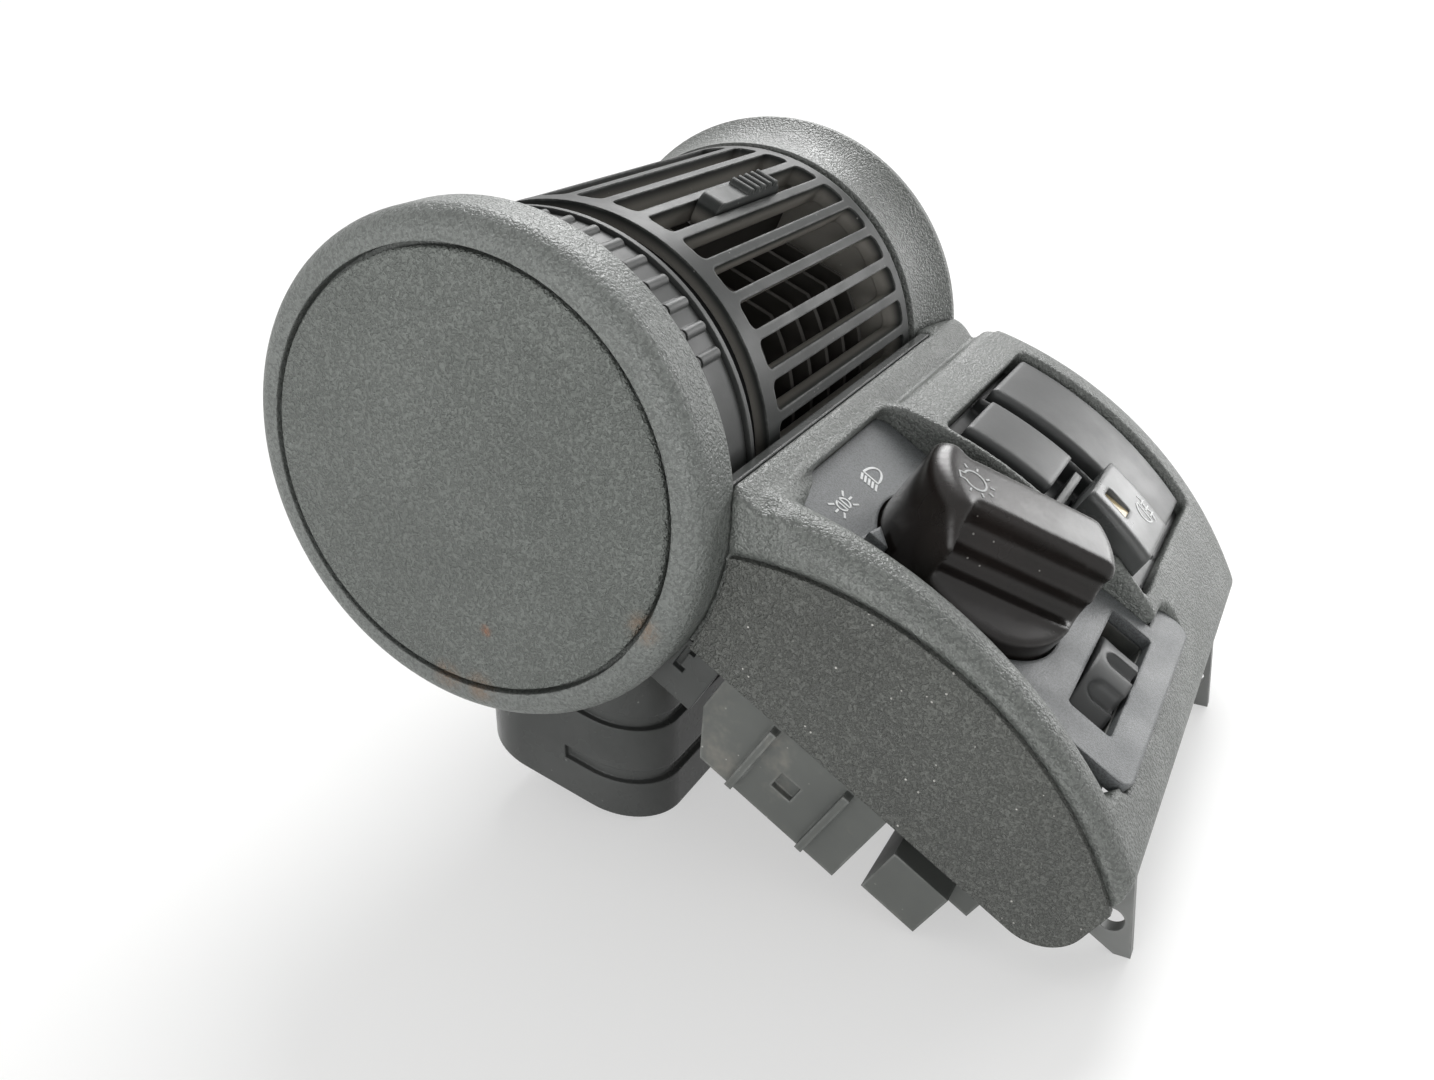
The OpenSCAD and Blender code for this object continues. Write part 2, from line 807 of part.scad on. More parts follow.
module shutter_arm() {
    color(black) stand() difference() {
        union() {
            x_rod(arm_x, arm_x + arm_t, axle_r + 4);
            barrel_turn(shutter_open - 14, shutter_open + 14) span(0, shutter_in, arm_x, arm_x + arm_t);
        }
        x_rod(0, big, axle_r + run_fit);
    }
}

module switch_fascia() {
    hole_r = knob_r + gap;
    color(grey) stand() difference() {
        union() {
            out_of_panel(seat_w, fascia_z) fascia_outline(-clip_fit);
            pointer();
        }
        translate([knob_x, -knob_v, fascia_z - 9]) cylinder(h = 20, r = hole_r);
        dimmer_window();
    }
}

// Small index wedge on the fascia beside the knob's skirt
module pointer() {
    angle = -130;
    size = [3, 5];
    out_of_panel(fascia_z - 0.5, fascia_z + 1.6) translate([knob_x, knob_v]) rotate(angle)
        translate([knob_r + 2 * gap, 0]) polygon([[0, -size.y / 2], [size.x, 0], [0, size.y / 2]]);
}

module dimmer_window() {
    w = dimmer_w / 2 + 0.7;
    out_of_panel(fascia_z - 9, fascia_z + 9)
        rounded(dimmer_x - window_l / 2, dimmer_x + window_l / 2, dimmer_v - w, dimmer_v + w, 1);
}

body_x = [cheek_x + near_plate + 2.6, fascia_x + fascia_w - 2];
foot_x = cheek_x + 1.6;
foot_w = -back_drop - 0.6;
body_v = [knob_v - 17, knob_v + 15.5];
body_w = [seat_w - switch_depth, seat_w];

// Side outline of the lamp switch body up to a height w, with its chamfered back edge
module body_outline(w) {
    chamfer = [5, 9];
    polygon([[body_v[0] - 2, w], [body_v[1], w], [body_v[1], body_w[0]],
             [body_v[0] - 2 + chamfer.x, body_w[0]], [body_v[0] - 2, body_w[0] + chamfer.y]]);
}

module lamp_switch_body() {
    latch = [body_v[0] + 15, body_v[0] + 19];
    color(grey) stand() difference() {
        union() {
            across(body_x[0], body_x[1]) body_outline(body_w[1]);
            across(foot_x, body_x[1]) body_outline(foot_w);
            for (v = [body_v[0] + 9, body_v[1] - 8]) rib(v);
        }
        translate([knob_x, -knob_v, body_w[1] - 3]) cylinder(h = 9, r = knob_r + gap);
        translate([knob_x, -knob_v, spindle_low - 2]) cylinder(h = big, r = spindle_r + run_fit);
        panel_box(foot_x - 1, foot_x + 1.2, latch[0], latch[1], body_w[0] + 6, body_w[0] + 9.5);
        border_room();
    }
}

// Upright rib on the near face of the lamp switch body
module rib(v) {
    panel_box(foot_x - 2, foot_x + 0.1, v, v + 1.4, body_w[0] + 1, foot_w - 1);
}

blade_t = 0.8;
blade_w = 2.8;
blade_pitch = 5;
blade_row = 7;

// Rows of flat contact blades that stand out of a switch's back face at height w
module blades(x0, v0, w, length, columns, rows) {
    for (i = [0:columns - 1], j = [0:rows - 1]) {
        x = x0 + i * blade_pitch;
        v = v0 + j * blade_row;
        panel_box(x, x + blade_t, v, v + blade_w, w - length, w);
    }
}

module lamp_terminals() {
    color(copper) stand() blades(foot_x + 8, body_v[0] + 8, body_w[0], 6, 6, 2);
}

spindle_r = 3;
spindle_low = body_w[1] - 20;

// Side of the grip bar with its two finger grooves, drawn as (across the bar, w)
module knob_side() {
    half = knob_bar / 2;
    base = fascia_z + 1.5;
    top = fascia_z + knob_h;
    polygon([[half, top + 1], [half, top - 2.5], [half + 1.2, top - 7.2], [half + 2.4, base + 6],
             [half + 6, base + 3.2], [knob_r + 2, base + 1.2], [knob_r + 2, top + 1]]);
    translate([half + 1.2, top - 4.6]) circle(1.9, $fn = 48);
    translate([half + 3.2, base + 5.8]) circle(2.4, $fn = 48);
}

// Finger scoop beside the grip bar, closed at the pointer end and open at the other
module knob_scoop() {
    pointer_end = knob_r * 0.7;
    intersection() {
        rotate([90, 0, 0]) linear_extrude(3 * knob_r, center = true) knob_side();
        translate([0, 0, fascia_z]) linear_extrude(knob_h + 2)
            rounded(knob_bar / 2 - 1, knob_r + 6, -2 * knob_r, pointer_end, 4);
    }
}

module light_knob() {
    low = fascia_z - 1.4;
    top = fascia_z + knob_h;
    color(black) stand() translate([knob_x, -knob_v, 0]) rotate([0, 0, knob_turn]) difference() {
        rotate_extrude() difference() {
            rounded(-knob_r, knob_r, low - 5, top, 3);
            span(-big, 0, -big, big);
            span(-big, big, -big, low);
        }
        for (s = [0, 1]) mirror([s, 0, 0]) knob_scoop();
        translate([0, 0, low - 1]) cylinder(h = 9, r = spindle_r);
    }
}

module knob_spindle() {
    color(steel) stand() translate([knob_x, -knob_v, spindle_low])
        cylinder(h = fascia_z + 6.6 - spindle_low, r = spindle_r - press_fit);
}

dimmer_r = dimmer_d / 2;
dimmer_z = fascia_z + dimmer_proud - dimmer_r;
dimmer_axle_r = 2;
dimmer_box_v = [dimmer_v - dimmer_w / 2 - 3.4, dimmer_v + dimmer_w / 2 + 3.4];
dimmer_box_x = [body_x[0], dimmer_x + dimmer_r + 2.4];
dimmer_low = dimmer_z - dimmer_r - 2.6;
plug_v = [dimmer_box_v[0] - 2, dimmer_box_v[1] - 5];
plug_low = (1 - axis_h + plug_v[1] * sin(lean)) / cos(lean);

// Room for the panel's solid near border, taken out of the switch bodies
module border_room() {
    crown_turn()
        span(crown_r - 2 * crown_edge - gap, crown_r + 5, 0, fascia_x - well_wall / 2 + gap);
}

module dimmer_body() {
    color(grey) stand() difference() {
        union() {
            panel_box(dimmer_box_x[0], dimmer_box_x[1], dimmer_box_v[0], dimmer_box_v[1],
                      dimmer_low, seat_w);
            panel_box(foot_x, dimmer_box_x[0] + 24, plug_v[0], plug_v[1],
                      plug_low, dimmer_low + 4);
        }
        panel_box(dimmer_x - dimmer_r - 1, dimmer_x + dimmer_r + 1, dimmer_v - dimmer_w / 2 - gap,
                  dimmer_v + dimmer_w / 2 + gap, dimmer_z - dimmer_r - 1, fascia_z);
        translate([dimmer_x, -dimmer_v, dimmer_z]) rotate([90, 0, 0])
            cylinder(h = dimmer_w + 20, r = dimmer_axle_r + run_fit, center = true);
        border_room();
    }
}

module dimmer_terminals() {
    color(copper) stand() blades(foot_x + 6, plug_v[0] + 1, plug_low, 3, 4, 1);
}

module dimmer_wheel() {
    scallop = PI * dimmer_d / dimmer_scallops * 0.3;
    band = 1.2;
    start = band + 0.9 * scallop - dimmer_w / 2;
    color(black) stand() translate([dimmer_x, -dimmer_v, dimmer_z]) rotate([90, 0, 0]) difference() {
        cylinder(h = dimmer_w, r = dimmer_r, center = true);
        for (i = [0:dimmer_scallops - 1]) rotate([0, 0, i * 360 / dimmer_scallops])
            translate([0, dimmer_r + scallop * 0.35, start]) {
                sphere(scallop);
                cylinder(h = dimmer_w, r = scallop);
            }
        cylinder(h = dimmer_w + 2, r = dimmer_axle_r, center = true);
    }
}

module dimmer_axle() {
    h = dimmer_box_v[1] - dimmer_box_v[0] - 1;
    color(steel) stand() translate([dimmer_x, -dimmer_v, dimmer_z]) rotate([90, 0, 0])
        cylinder(h = h, r = dimmer_axle_r - press_fit, center = true);
}

carrier_low = 12;
carrier_top = 25;
long_end_v = pocket_v + pocket_l - 2;
step_end = step_v - 2 * well_wall;

module button_carrier() {
    color(satin) stand() difference() {
        union() {
            out_of_panel(carrier_low, carrier_top) pocket_outline(-clip_fit);
            out_of_panel(seat_w - 2, seat_w)
                rounded(pocket_x + gap, pocket_x + pocket_w + 1.6,
                        pocket_v - 1.6, pocket_v + pocket_l + 1.6, 3);
            crown_block(pocket_x + 0.6, pocket_x + 2, pocket_v + 0.6, step_end, carrier_top - 1, -1.2, 0.6);
            crown_block(button_x - 1, button_x + button_w, fog_v - 3.6, fog_v - 2,
                        carrier_top - 1, -2.4, 0.6);
            crown_block(long_x - 3.4, long_x - 2, pocket_v + 0.6, pocket_v + pocket_l - 1,
                        carrier_top - 1, -3, 0.6);
        }
        panel_box(button_x - gap, button_x + button_w + gap, fog_v - gap, fog_v + fog_l + gap,
                  carrier_low - 1, big / 2);
    }
}

module short_blank() {
    color(satin) stand()
        crown_block(button_x, button_x + button_w, short_v, short_v + short_l, carrier_top, -0.6, 1.2);
}

module long_blank() {
    color(satin) stand()
        crown_block(long_x, pocket_x + pocket_w - 1.6, pocket_v + 1.4, long_end_v, carrier_top, -1, 1.2);
}

spring_radius = 3;
spring_well = 6;
lens = [3.6, 5.6];
lens_x = button_x + 3.4;
lens_v = fog_v + 2.4;
fog_low = carrier_low + fog_travel + 1.5;

module fog_button() {
    color(satin) stand() difference() {
        crown_block(button_x, button_x + button_w, fog_v, fog_v + fog_l, fog_low, fog_proud, 1.4);
        panel_box(lens_x - 0.02, lens_x + lens.x + 0.02, lens_v - 0.02, lens_v + lens.y + 0.02,
                  crown_w(lens_v) + fog_proud - 4, big / 2);
        translate([button_x + button_w / 2, -fog_v - fog_l / 2, fog_low - 1])
            cylinder(h = spring_well + 1, r = spring_radius + 1);
    }
}

module fog_lens() {
    color(amber) stand()
        panel_box(lens_x, lens_x + lens.x, lens_v, lens_v + lens.y,
                  crown_w(lens_v) + fog_proud - 4, crown_w(lens_v) + fog_proud - 1.2);
}

fog_body_low = -10;

module fog_switch_body() {
    color(grey) stand()
        panel_box(button_x - 3, button_x + button_w + 3, fog_v - 2, fog_v + fog_l + 1.6,
                  fog_body_low, carrier_low);
}

module fog_terminals() {
    color(copper) stand() blades(button_x + 3, fog_v + 3, fog_body_low, 6, 3, 2);
}

spring_turns = 5;
spring_wire = 0.5;
spring_span = [carrier_low, fog_low + spring_well];
spring_sides = 6;
spring_rings = 8 * spring_turns;

// Centre of the spring wire at a turn count t
function coil(t) = [spring_radius * cos(360 * t), spring_radius * sin(360 * t),
    spring_span[0] + spring_wire / 2 + (spring_span[1] - spring_span[0] - spring_wire) * t / spring_turns];

// One ring of the wire's surface
function coil_ring(t) = [for (k = [0:spring_sides - 1])
    let (a = 360 * k / spring_sides, c = coil(t), out = [cos(360 * t), sin(360 * t), 0])
    c + spring_wire / 2 * (cos(a) * out + sin(a) * [0, 0, 1])];

module fog_spring() {
    n = spring_sides;
    pts = [for (i = [0:spring_rings]) each coil_ring(i / 8)];
    walls = [for (i = [0:spring_rings - 1], k = [0:n - 1])
        let (a = i * n + k, b = i * n + (k + 1) % n)
        each [[a, b, b + n], [a, b + n, a + n]]];
    last = spring_rings * n;
    lids = [for (k = [1:n - 2]) each [[0, k + 1, k], [last, last + k, last + k + 1]]];
    color(steel) stand() translate([button_x + button_w / 2, -fog_v - fog_l / 2, 0])
        polyhedron(pts, concat(walls, lids));
}

bezel();
near_rim();
far_flange();
fixing_tabs();
end_cap();
side_cover();
duct_housing();
near_axle();
far_axle();
partition();
drum_seal();
housing_screws();
drum_grille();
drum_end_plate();
vane_1();
vane_2();
vane_3();
vane_4();
vane_5();
vane_6();
vane_link();
vane_grip();
flow_wheel();
air_shutter();
shutter_arm();
switch_fascia();
lamp_switch_body();
lamp_terminals();
light_knob();
knob_spindle();
dimmer_body();
dimmer_wheel();
dimmer_axle();
dimmer_terminals();
button_carrier();
short_blank();
long_blank();
fog_button();
fog_lens();
fog_spring();
fog_switch_body();
fog_terminals();
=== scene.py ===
import math

import bmesh
import bpy
from mathutils import Matrix, Vector


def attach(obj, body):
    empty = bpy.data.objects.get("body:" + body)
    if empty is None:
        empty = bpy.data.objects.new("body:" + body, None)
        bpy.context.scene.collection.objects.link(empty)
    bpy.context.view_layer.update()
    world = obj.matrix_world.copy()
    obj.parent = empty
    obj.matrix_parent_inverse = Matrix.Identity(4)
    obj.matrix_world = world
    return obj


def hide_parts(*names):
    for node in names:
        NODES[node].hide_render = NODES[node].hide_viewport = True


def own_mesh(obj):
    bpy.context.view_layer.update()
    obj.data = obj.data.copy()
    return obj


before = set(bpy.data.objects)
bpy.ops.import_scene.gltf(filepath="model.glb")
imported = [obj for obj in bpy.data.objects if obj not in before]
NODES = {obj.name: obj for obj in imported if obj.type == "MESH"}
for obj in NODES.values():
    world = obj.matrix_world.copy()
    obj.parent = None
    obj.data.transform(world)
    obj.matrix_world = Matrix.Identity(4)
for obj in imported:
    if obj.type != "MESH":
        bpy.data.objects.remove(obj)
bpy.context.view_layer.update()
SCENE = bpy.context.scene
MM_PER_M = 1000

# The pod's own frame: x along the barrel, v down the panel, w out of it, in millimetres
POD_LEAN = math.radians(33.1)
POD_PLACE = (-0.0655, 0.0332399, 0.0705983)
POD = Matrix.Translation(POD_PLACE) @ Matrix.Rotation(POD_LEAN, 4, "X")


def pod(x, v, w):
    """Row-frame point of a place on the panel."""
    return POD @ Vector((x / MM_PER_M, -v / MM_PER_M, w / MM_PER_M))


def add(name, data):
    """A new object in the scene."""
    o = bpy.data.objects.new(name, data)
    SCENE.collection.objects.link(o)
    return o


def filled_mesh(name, bm):
    """A mesh with what the editing mesh holds, which is then given up."""
    mesh = bpy.data.meshes.new(name)
    bm.to_mesh(mesh)
    bm.free()
    return mesh


# Camera at the photograph's place
CAMERA_PLACE = (-0.2242, -0.0917, 0.1494)
CAMERA_RIGHT = Vector((0.4457, -0.8952, 0.0))
CAMERA_UP = Vector((0.3677, 0.1831, 0.9117))
CAMERA_AHEAD = Vector((0.8162, 0.4063, -0.4108))
SENSOR_WIDTH = 36
FOCAL_LENGTH = 33.27
NEAREST_SEEN = 0.01

camera = add("camera", bpy.data.cameras.new("camera"))
camera_turn = Matrix((CAMERA_RIGHT, CAMERA_UP, -CAMERA_AHEAD)).transposed().to_4x4()
camera.matrix_world = Matrix.Translation(CAMERA_PLACE) @ camera_turn
camera.data.sensor_width = SENSOR_WIDTH
camera.data.sensor_fit = "HORIZONTAL"
camera.data.lens = FOCAL_LENGTH
camera.data.clip_start = NEAREST_SEEN
SCENE.camera = camera


# Node graph helpers
class Graph:
    """A material's node tree, built by short calls."""

    def __init__(self, name):
        self.mat = bpy.data.materials.new(name)
        self.mat.use_nodes = True
        self.tree = self.mat.node_tree
        self.bsdf = self.tree.nodes["Principled BSDF"]
        self.coord = self.tree.nodes.new("ShaderNodeTexCoord").outputs["Object"]

    def node(self, kind, **props):
        n = self.tree.nodes.new("ShaderNode" + kind)
        for key, value in props.items():
            setattr(n, key, value)
        return n

    def link(self, out, socket):
        self.tree.links.new(out, socket)

    def put(self, socket, value):
        """Links a socket to another one, or gives it a plain value."""
        if hasattr(value, "is_linked"):
            self.link(value, socket)
        else:
            socket.default_value = value

    def surface(self, socket, value):
        self.put(self.bsdf.inputs[socket], value)

    def noise(self, scale, detail=3.0, rough=0.5, distort=0.0):
        n = self.node("TexNoise")
        self.link(self.coord, n.inputs["Vector"])
        n.inputs["Scale"].default_value = scale
        n.inputs["Detail"].default_value = detail
        n.inputs["Roughness"].default_value = rough
        n.inputs["Distortion"].default_value = distort
        return n.outputs["Fac"]

    def cells(self, scale):
        n = self.node("TexVoronoi", feature="F1")
        self.link(self.coord, n.inputs["Vector"])
        n.inputs["Scale"].default_value = scale
        return n.outputs["Distance"]

    def ramp(self, fac, low, high, at_low=0.0, at_high=1.0):
        n = self.node("MapRange", interpolation_type="SMOOTHSTEP")
        self.put(n.inputs["Value"], fac)
        n.inputs["From Min"].default_value = low
        n.inputs["From Max"].default_value = high
        n.inputs["To Min"].default_value = at_low
        n.inputs["To Max"].default_value = at_high
        return n.outputs["Result"]

    def math(self, op, a, b):
        n = self.node("Math", operation=op)
        self.put(n.inputs[0], a)
        self.put(n.inputs[1], b)
        return n.outputs[0]

    def times(self, a, b):
        return self.math("MULTIPLY", a, b)

    def mix(self, fac, a, b):
        """A colour between two others."""
        n = self.node("Mix", data_type="RGBA")
        self.put(n.inputs["Factor"], fac)
        self.put(n.inputs[6], a)
        self.put(n.inputs[7], b)
        return n.outputs[2]

    def bump(self, height, strength, depth, normal):
        """Relief of a depth in millimetres, laid on another normal."""
        n = self.node("Bump")
        self.link(height, n.inputs["Height"])
        n.inputs["Strength"].default_value = strength
        n.inputs["Distance"].default_value = depth / MM_PER_M
        self.link(normal, n.inputs["Normal"])
        return n.outputs["Normal"]

    def soft_edge(self, radius):
        """The normal of a surface whose edges are rounded by a radius in millimetres."""
        n = self.node("Bevel", samples=4)
        n.inputs["Radius"].default_value = radius / MM_PER_M
        return n.outputs["Normal"]

    def edge_mask(self, radius):
        """1 along edges, 0 on flats: how far a rounded normal turns from the true one."""
        n = self.node("VectorMath", operation="DOT_PRODUCT")
        self.link(self.soft_edge(radius), n.inputs[0])
        self.link(self.node("NewGeometry").outputs["Normal"], n.inputs[1])
        turned = self.math("SUBTRACT", 1.0, n.outputs["Value"])
        return self.ramp(turned, low=0.002, high=0.06)

    def near(self, point, place, inner, outer):
        """1 within the inner distance of a place, 0 beyond the outer one, in millimetres."""
        n = self.node("VectorMath", operation="DISTANCE")
        self.link(point, n.inputs[0])
        n.inputs[1].default_value = place
        return self.ramp(n.outputs["Value"], low=outer / MM_PER_M, high=inner / MM_PER_M)

    def in_barrel(self, deep, shallow):
        """1 within the deep radius about the barrel's axis, 0 beyond the shallow one."""
        across = self.node("VectorMath", operation="MULTIPLY")
        self.link(self.coord, across.inputs[0])
        across.inputs[1].default_value = (0.0, 1.0, 1.0)
        axis = (0.0, *POD_PLACE[1:])
        return self.near(across.outputs["Vector"], axis, deep, shallow)


def shade(color, share=1.0):
    """A colour socket's value: the colour, darkened or lightened by a share."""
    return (*[min(1.0, c * share) for c in color], 1.0)


# Plastics and metals
RUBBED = (0.34, 0.345, 0.335)
DUST = (0.62, 0.61, 0.58)
RUST = (0.3, 0.12, 0.05)
SOIL = (0.2, 0.13, 0.08)
HAZE = (0.32, 0.29, 0.25)
# Painted light: a pale colour laid on the grille's slot walls deep in the barrel, standing in for
# light on them
PAINTED_SLOT_LIGHT_COLOR = (0.26, 0.248, 0.225)
SMUDGE = 0.075
WORM_SHARE = 0.65
# How dark the painted shade in the grain's hollows is, as a share of the darker colour
PIT_SHADE_SHARE = 0.4
FLECK_SHARE = 2.1
RUB_WIDTH = 0.8
DUST_ROUGHNESS = 0.4


def grained(g, color, normal, base, light, grain):
    """Colour and normal with pebble grain: raised worms and pebbles, painted shade in the hollows,
    pale flecks.
    """
    size, depth, contrast = grain
    worm = g.ramp(g.noise(900 / size, detail=1.5, distort=0.5), low=0.36, high=0.64)
    pebble = g.ramp(g.cells(1300 / size), low=0.1, high=0.7, at_low=1.0, at_high=0.0)
    height = g.math("ADD", g.times(worm, WORM_SHARE), g.times(pebble, 1 - WORM_SHARE))
    # painted shade: the grain's hollows, where the height is low, are darkened
    pit_shade = g.ramp(height, low=0.15, high=0.55, at_low=contrast, at_high=0.0)
    color = g.mix(pit_shade, color, shade(base, PIT_SHADE_SHARE))
    fleck = g.ramp(g.noise(2400 / size, detail=1.0), low=0.62, high=0.74, at_high=contrast)
    color = g.mix(fleck, color, shade(light, FLECK_SHARE))
    return color, g.bump(height, 1.0, depth, normal)


def worn(g, color, share):
    """Colour with edges rubbed pale."""
    patches = g.ramp(g.noise(160, detail=4.0, rough=0.7), low=0.35, high=0.7)
    rub = g.times(g.edge_mask(RUB_WIDTH), patches)
    return g.mix(g.times(rub, share), color, shade(RUBBED))


def stained(g, color, share):
    """Colour with large cloudy stains."""
    cloud = g.ramp(g.noise(45, detail=5.0, rough=0.7), low=0.5, high=0.72)
    return g.mix(g.times(cloud, share), color, shade(HAZE))


def spotted(g, color, spot):
    """Colour with one ragged spot: its place, inner and outer distance, tint and share."""
    place, inner, outer, tint, share = spot
    ragged = g.ramp(g.noise(800, detail=4.0, rough=0.7), low=0.3, high=0.6)
    patch = g.times(g.near(g.coord, place, inner, outer), ragged)
    return g.mix(g.times(patch, share), color, shade(tint))


def specks(g, share):
    """Mask of scattered dust specks."""
    speck = g.ramp(g.cells(420), low=0.1, high=0.05)
    gate = g.ramp(g.noise(150, detail=2.0), low=0.5, high=0.6)
    return g.times(g.times(speck, gate), share)


def plastic(name, base, light, rough, edge, grain=None, wear=0.0, stain=0.0, spots=(), painted_slot_light=None,
            dust=0.0, specular=0.5):
    """Moulded plastic: mottled colour, optional pebble grain with painted shade in its hollows,
    rounded edges, wear, dust and dirt, and optional painted light on slot walls.
    """
    g = Graph(name)
    mottle = g.ramp(g.noise(38, detail=4.0, rough=0.6), low=0.3, high=0.7)
    color = g.mix(mottle, shade(base), shade(light))
    smear = g.noise(70, detail=4.0, rough=0.6)
    roughness = g.ramp(smear, low=0.3, high=0.75, at_low=rough - SMUDGE, at_high=rough + SMUDGE)
    normal = g.soft_edge(edge)
    if grain:
        color, normal = grained(g, color, normal, base, light, grain)
    else:
        normal = g.bump(g.noise(1500, detail=3.0, rough=0.6), 0.25, 0.06, normal)
    if wear:
        color = worn(g, color, wear)
    if stain:
        color = stained(g, color, stain)
    for spot in spots:
        color = spotted(g, color, spot)
    # painted light on the grille's slot walls, within the given radii of the barrel's axis
    if painted_slot_light:
        color = g.mix(g.in_barrel(*painted_slot_light), color, shade(PAINTED_SLOT_LIGHT_COLOR))
    if dust:
        veil = specks(g, dust)
        color = g.mix(veil, color, shade(DUST))
        roughness = g.math("ADD", roughness, g.times(veil, DUST_ROUGHNESS))
    g.surface("Base Color", color)
    g.surface("Roughness", roughness)
    g.surface("Normal", normal)
    g.surface("Specular IOR Level", specular)
    return g.mat


def metal(name, base, rough):
    """Drawn metal with dull streaks."""
    g = Graph(name)
    streak = g.noise(420, detail=5.0, rough=0.7)
    g.surface("Base Color", g.mix(g.ramp(streak, low=0.3, high=0.7), shade(base), shade(base, 0.62)))
    g.surface("Roughness", g.ramp(streak, 0.2, 0.8, at_low=rough - 0.08, at_high=rough + 0.15))
    g.surface("Normal", g.bump(streak, 0.2, 0.05, g.soft_edge(0.2)))
    g.surface("Metallic", 1.0)
    return g.mat


def ink(name, color, rough):
    """Printed ink, worn thin in places."""
    g = Graph(name)
    thin = g.ramp(g.noise(900, detail=4.0, rough=0.7), low=0.4, high=0.7)
    g.surface("Base Color", g.mix(thin, shade(color), shade(color, 0.82)))
    g.surface("Roughness", rough)
    return g.mat


GROOVE_PLACES = ((15.0, -34.9), (21.0, -31.7), (37.9, 2.0))
GROOVE_DIRT = [(pod(0.4, v, w), 0.8, 4.0, SOIL, 0.6) for v, w in GROOVE_PLACES]
CAP_SPOTS = [(pod(0.3, 16.6, -20.8), 0.5, 1.6, RUST, 0.6)] + GROOVE_DIRT
# Radii about the barrel's axis within which the grille's slot walls get painted light
SLOT_WALLS = (36.5, 39.0)

# Each look: name, darker and lighter colour, roughness, edge radius; grain is size, depth and contrast
MATS = {
    "cap": plastic("cap_grain", (0.124, 0.135, 0.125), (0.147, 0.159, 0.148), 0.48, 0.5,
                   grain=(0.6, 0.4, 0.45), spots=CAP_SPOTS, dust=0.1),
    # the rim's grain is a lighter copy of the bezel's: painted light on the near rim's top
    "rim": plastic("rim_grain_painted_lighter", (0.135, 0.145, 0.137), (0.162, 0.173, 0.164), 0.44, 0.6,
                   grain=(0.6, 0.16, 0.45), wear=0.2, spots=GROOVE_DIRT, dust=0.15),
    "bezel": plastic("bezel_grain", (0.122, 0.13, 0.122), (0.15, 0.16, 0.15), 0.42, 0.6,
                     grain=(0.6, 0.16, 0.5), wear=0.25, dust=0.2),
    "cover": plastic("cover_grain", (0.086, 0.09, 0.083), (0.106, 0.111, 0.102), 0.48, 0.4,
                     grain=(0.55, 0.4, 0.5), dust=0.9),
    "duct": plastic("duct_black", (0.055, 0.058, 0.056), (0.075, 0.078, 0.076), 0.28, 0.5,
                    dust=0.2, specular=0.32),
    # the grille's slot walls get painted light
    "grille": plastic("grille_satin", (0.017, 0.019, 0.018), (0.025, 0.027, 0.026), 0.45, 0.5,
                      wear=0.4, painted_slot_light=SLOT_WALLS, dust=0.3, specular=0.2),
    "inner": plastic("inner_brown", (0.05, 0.043, 0.037), (0.07, 0.06, 0.052), 0.8, 0.2,
                     specular=0.15),
    "vane": plastic("vane_black", (0.03, 0.028, 0.025), (0.042, 0.039, 0.035), 0.8, 0.2,
                    specular=0.1),
    "wheel": plastic("wheel_satin", (0.035, 0.037, 0.036), (0.048, 0.05, 0.049), 0.5, 0.4,
                     wear=0.15, specular=0.35),
    "foam": plastic("seal_foam", (0.006, 0.006, 0.006), (0.012, 0.012, 0.012), 0.95, 0.3,
                    specular=0.1),
    "fascia": plastic("fascia_sparkle", (0.115, 0.122, 0.125), (0.145, 0.153, 0.157), 0.46, 0.9,
                      grain=(0.32, 0.03, 0.5)),
    "switch": plastic("switch_grey", (0.079, 0.084, 0.079), (0.103, 0.109, 0.102), 0.55, 0.3,
                      wear=0.5, stain=0.5, dust=0.5),
    "tab": plastic("tab_grey", (0.16, 0.165, 0.16), (0.2, 0.205, 0.2), 0.5, 0.3,
                   wear=0.4, dust=0.3),
    "knob": plastic("knob_black", (0.008, 0.007, 0.006), (0.013, 0.01, 0.009), 0.23, 1.0,
                    wear=0.1, dust=0.35, specular=0.32),
    "button": plastic("button_satin", (0.036, 0.038, 0.038), (0.048, 0.05, 0.05), 0.42, 1.2,
                      specular=0.48),
    "fog": plastic("fog_satin", (0.05, 0.052, 0.052), (0.07, 0.073, 0.072), 0.32, 1.2),
    "lens": plastic("lens_amber", (0.55, 0.44, 0.26), (0.7, 0.58, 0.36), 0.25, 0.3),
    "brass": metal("contact_brass", (0.48, 0.3, 0.17), 0.42),
    "steel": metal("plain_steel", (0.5, 0.51, 0.53), 0.33),
}

LOOKS = {
    "bezel": "bezel",
    # painted light: the near rim takes the lighter copy of the grain for its lit top
    "near_rim": "rim",
    # painted shade: the far flange takes the darker bezel grain for its shaded inner flare
    "far_flange": "bezel",
    "fixing_tabs": "tab",
    "end_cap": "cap",
    "side_cover": "cover",
    "duct_housing": "duct",
    "near_axle": "steel",
    "far_axle": "steel",
    "partition": "wheel",
    "drum_seal": "foam",
    "housing_screws": "steel",
    "drum_grille": "grille",
    "drum_end_plate": "inner",
    "vane_link": "vane",
    "vane_grip": "grille",
    "flow_wheel": "wheel",
    "air_shutter": "duct",
    "shutter_arm": "duct",
    "switch_fascia": "fascia",
    "lamp_switch_body": "switch",
    "lamp_terminals": "brass",
    "light_knob": "knob",
    "knob_spindle": "steel",
    "dimmer_body": "switch",
    "dimmer_wheel": "button",
    "dimmer_axle": "steel",
    "dimmer_terminals": "brass",
    "button_carrier": "button",
    "short_blank": "button",
    "long_blank": "button",
    "fog_button": "fog",
    "fog_lens": "lens",
    "fog_spring": "steel",
    "fog_switch_body": "switch",
    "fog_terminals": "brass",
}
VANES = 6
